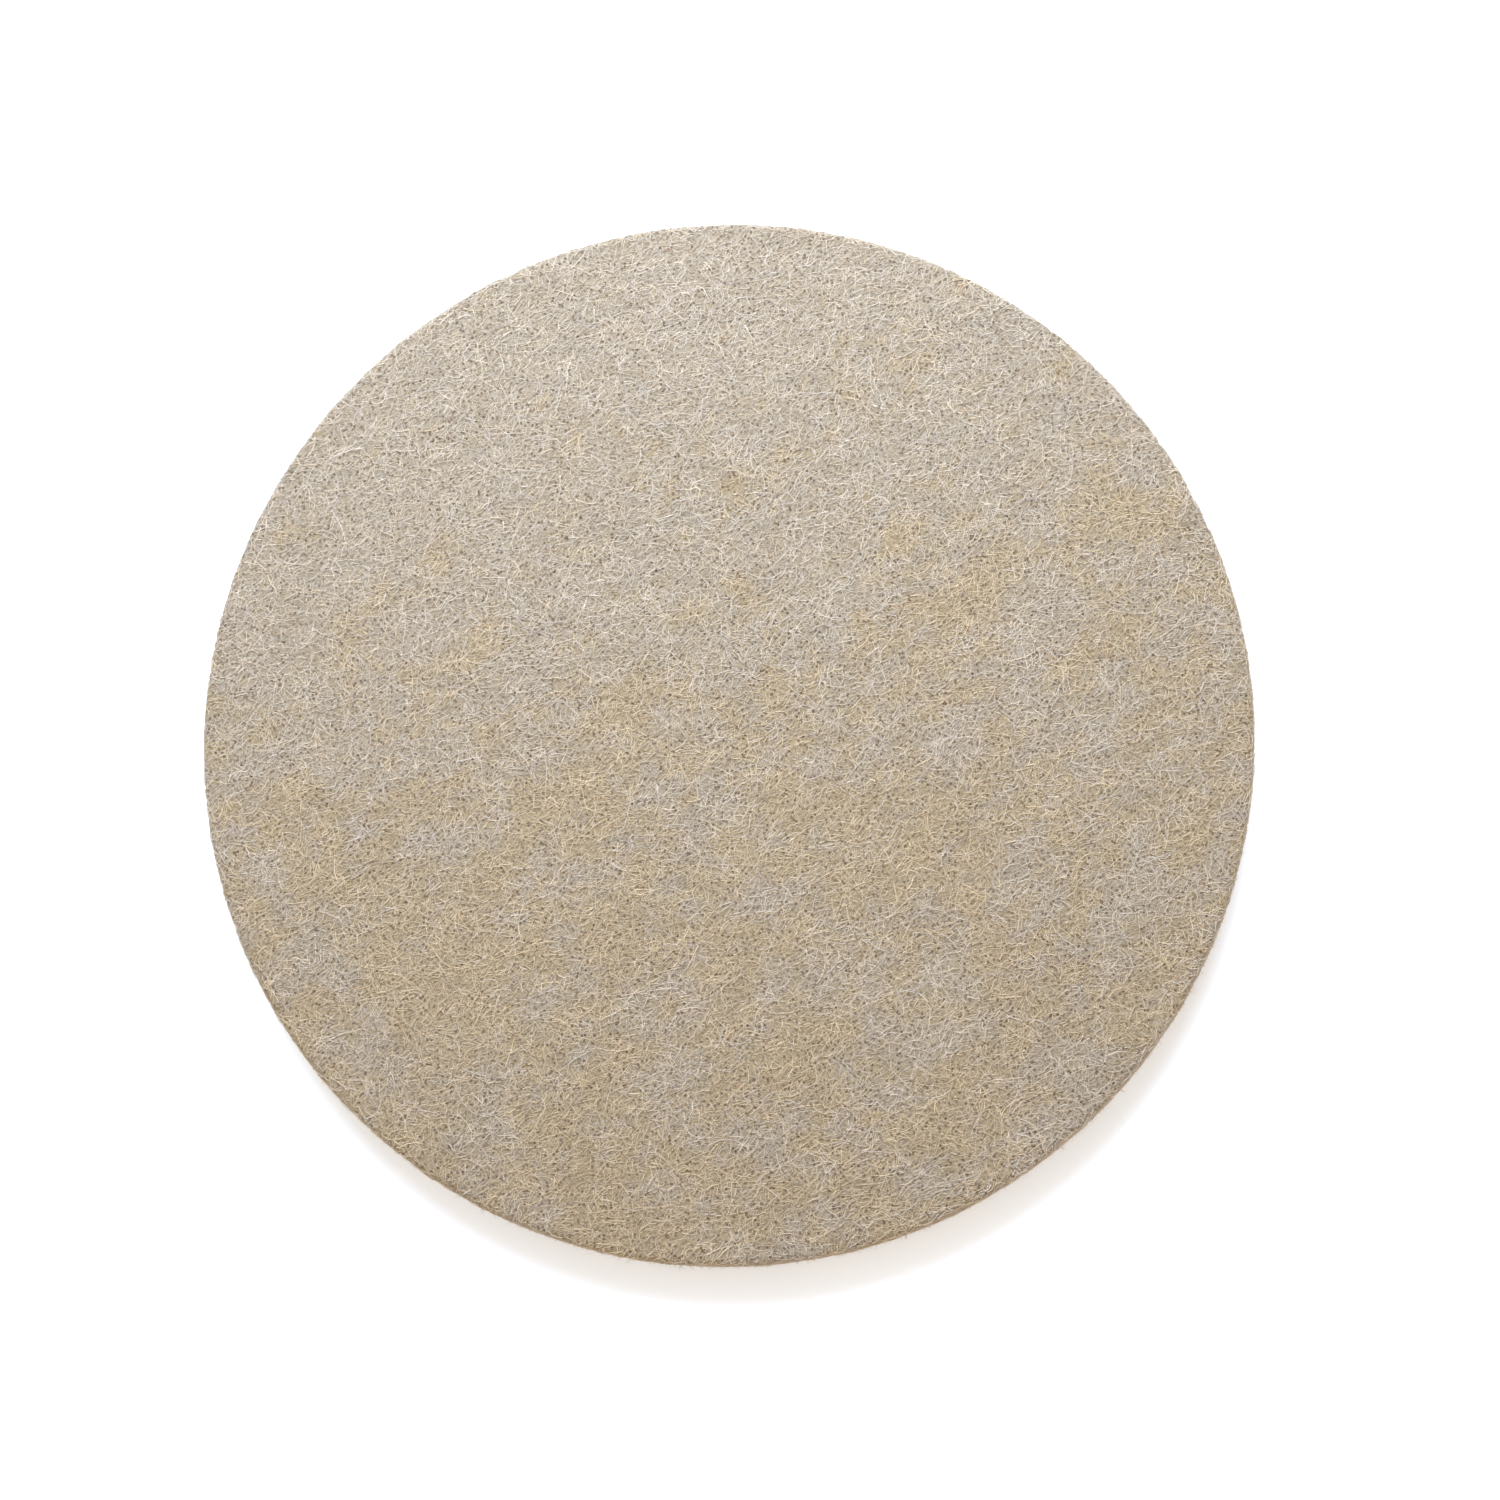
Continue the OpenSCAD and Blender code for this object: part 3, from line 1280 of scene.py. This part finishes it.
def camera_matrix(right, up, back, place):
    """Placement of an object with these three axes, at this place."""
    return Matrix(
        (
            (right.x, up.x, back.x, place.x),
            (right.y, up.y, back.y, place.y),
            (right.z, up.z, back.z, place.z),
            (0, 0, 0, 1),
        )
    )


class FELTDISC_PT_sidebar(bpy.types.Panel):
    """Lists the steps that build the disc, with their settings"""

    bl_idname = "FELTDISC_PT_sidebar"
    bl_label = "Felt Polishing Disc"
    bl_space_type = "VIEW_3D"
    bl_region_type = "UI"
    bl_category = "Felt Disc"

    def draw(self, context):
        layout = self.layout
        scene = context.scene
        groups = (
            (scene.felt_body, ("feltdisc.press_body",)),
            (scene.felt_nap, ("feltdisc.raise_nap",)),
            (
                scene.felt_backing,
                ("feltdisc.finish_backing", "feltdisc.finish_liner"),
            ),
            (scene.felt_stage, ("feltdisc.set_stage",)),
        )
        for settings, operators in groups:
            box = layout.box()
            for name in settings.__annotations__:
                box.prop(settings, name)
            for operator in operators:
                box.operator(operator)


CLASSES = (
    FeltBodySettings,
    NapSettings,
    BackingSettings,
    StageSettings,
    FELTDISC_OT_press_body,
    FELTDISC_OT_raise_nap,
    FELTDISC_OT_finish_backing,
    FELTDISC_OT_finish_liner,
    FELTDISC_OT_set_stage,
    FELTDISC_PT_sidebar,
)

SCENE_SETTINGS = {
    "felt_body": FeltBodySettings,
    "felt_nap": NapSettings,
    "felt_backing": BackingSettings,
    "felt_stage": StageSettings,
}


def register():
    for cls in CLASSES:
        bpy.utils.register_class(cls)
    for name, group in SCENE_SETTINGS.items():
        setattr(bpy.types.Scene, name, PointerProperty(type=group))


def unregister():
    for name in SCENE_SETTINGS:
        delattr(bpy.types.Scene, name)
    for cls in reversed(CLASSES):
        bpy.utils.unregister_class(cls)


def main():
    """Builds the disc and its stage."""
    register()
    bpy.ops.feltdisc.press_body()
    bpy.ops.feltdisc.raise_nap()
    bpy.ops.feltdisc.finish_backing()
    bpy.ops.feltdisc.finish_liner()
    bpy.ops.feltdisc.set_stage()


if __name__ == "__main__":
    main()
